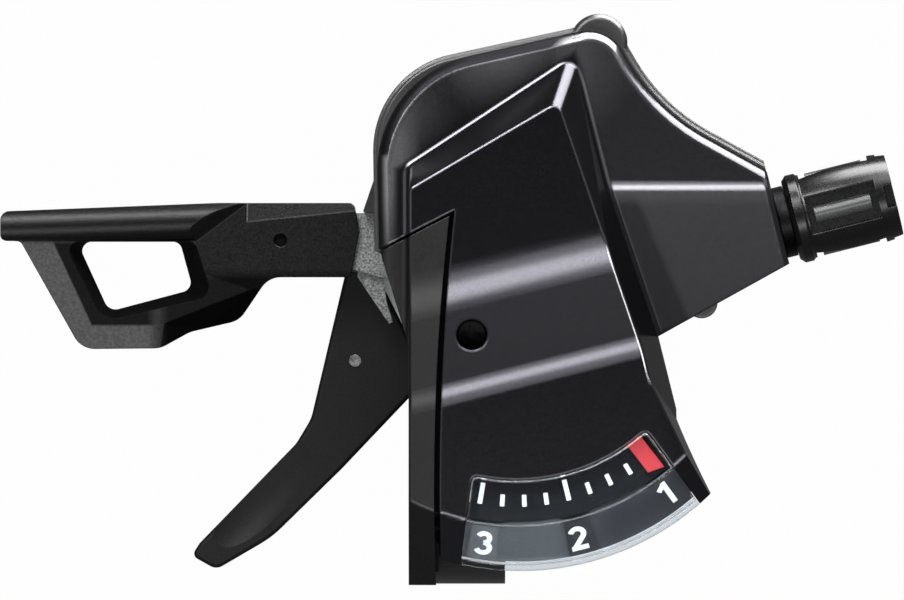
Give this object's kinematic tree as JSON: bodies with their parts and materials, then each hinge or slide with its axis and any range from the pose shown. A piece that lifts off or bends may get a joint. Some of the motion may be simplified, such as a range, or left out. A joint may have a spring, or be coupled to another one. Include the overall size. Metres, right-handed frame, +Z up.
{
  "type": "trigger gear shifter",
  "caption": "Left-hand under-bar trigger gear shifter with handlebar clamp, sculpted cover, position dial with needle, thumb lever, finger trigger and barrel cable adjuster.",
  "frame": {"origin": "middle of the handlebar clamp's bore", "axes": "+X along the handlebar towards its middle, +Y to the front of the bicycle, +Z up, out of the cover's face"},
  "size_m": [0.1164, 0.0733, 0.0462],
  "materials": {
    "cover_grey": "satin metallic grey moulding",
    "lens_clear": "clear moulded plastic lens",
    "dial_black": "matt black with white print",
    "needle_red": "matt red",
    "steel": "plated",
    "strip_black": "satin black",
    "case_grey": "satin dark grey",
    "screw_black": "black plated",
    "bracket_black": "black paint on casting",
    "plate_steel": "stamped, plated",
    "drum_nylon": "matt",
    "spring_steel": "drawn wire",
    "bush_brass": "turned",
    "lever_black": "fine textured black",
    "rivet_grey": "dull",
    "cast_silver": "cast, satin",
    "knob_black": "satin black",
    "bolt_black": "black plated"
  },
  "bodies": {
    "housing": {"top_cover": "cover_grey", "window": "lens_clear", "dial_plate": "dial_black", "needle_washer": "steel", "side_cover": "strip_black", "wire_port_cap": "strip_black", "lower_case": "case_grey", "cover_screw": "screw_black", "case_screws": "screw_black", "bracket": "bracket_black", "clamp_bolt": "screw_black", "clamp_nut": "steel", "base_plate": "plate_steel", "main_axle": "steel", "axle_nut": "steel", "axle_spacer": "steel", "drum_washer": "steel", "hold_pawl_pin": "steel", "hold_pawl_spring": "spring_steel", "release_spring": "spring_steel", "lever_spring": "spring_steel"},
    "drum": {"cable_drum": "drum_nylon", "drum_pin": "steel", "hold_ratchet": "plate_steel", "feed_ratchet": "plate_steel"},
    "needle": {"needle": "needle_red"},
    "main_lever": {"main_lever_plate": "plate_steel", "main_lever_bush": "bush_brass", "main_lever_cap": "lever_black", "main_lever_rivet": "rivet_grey", "feed_pawl_pin": "steel", "feed_pawl_spring": "spring_steel"},
    "feed_pawl": {"feed_pawl": "plate_steel"},
    "hold_pawl": {"hold_pawl": "plate_steel"},
    "release_lever": {"release_lever_plate": "cast_silver", "release_lever_cap": "lever_black"},
    "adjuster_ring": {"adjuster_spring": "bolt_black"},
    "adjuster": {"adjuster_knob": "knob_black", "adjuster_bolt": "bolt_black"}
  },
  "joints": [
    {"name": "drum_turn", "type": "hinge", "parent": "housing", "child": "drum", "pos_m": [0.00542, 0.03273, 0], "axis": [0, 0, 1], "range_deg": [-94.8, 0]},
    {"name": "needle_turn", "type": "hinge", "parent": "housing", "child": "needle", "pos_m": [0.0076, 0.024, 0.0152], "axis": [0, 0, 1], "range_deg": [-47.4, 0]},
    {"name": "main_lever_turn", "type": "hinge", "parent": "housing", "child": "main_lever", "pos_m": [0.00542, 0.03273, -0.0144], "axis": [0, 0, 1], "range_deg": [-50, 0], "stiffness_Nm_per_rad": 0.05, "springref_deg": 17.19},
    {"name": "feed_pawl_turn", "type": "hinge", "parent": "main_lever", "child": "feed_pawl", "pos_m": [0.00077, 0.01995, -0.0114], "axis": [0, 0, 1], "range_deg": [-16, 0], "stiffness_Nm_per_rad": 0.002},
    {"name": "hold_pawl_turn", "type": "hinge", "parent": "housing", "child": "hold_pawl", "pos_m": [-0.00005, 0.04627, -0.0098], "axis": [0, 0, 1], "range_deg": [-14, 5], "stiffness_Nm_per_rad": 0.002},
    {"name": "release_lever_turn", "type": "hinge", "parent": "housing", "child": "release_lever", "pos_m": [0.00542, 0.03273, -0.0077], "axis": [0, 0, 1], "range_deg": [-9, 7], "stiffness_Nm_per_rad": 0.3},
    {"name": "adjuster_travel", "type": "slide", "parent": "housing", "child": "adjuster_ring", "axis": [0.9703, 0.2419, 0], "range_m": [0, 0.003]},
    {"name": "adjuster_turn", "type": "hinge", "parent": "adjuster_ring", "child": "adjuster", "pos_m": [0.0076, 0.024, 0.0055], "axis": [0.9703, 0.2419, 0], "range_deg": [0, 1080]}
  ],
  "couplings": [
    {"joint": "needle_turn", "follows": "drum_turn", "ratio": 0.5},
    {"joint": "adjuster_turn", "follows": "adjuster_travel", "rad_per_m": 6283.2}
  ]
}
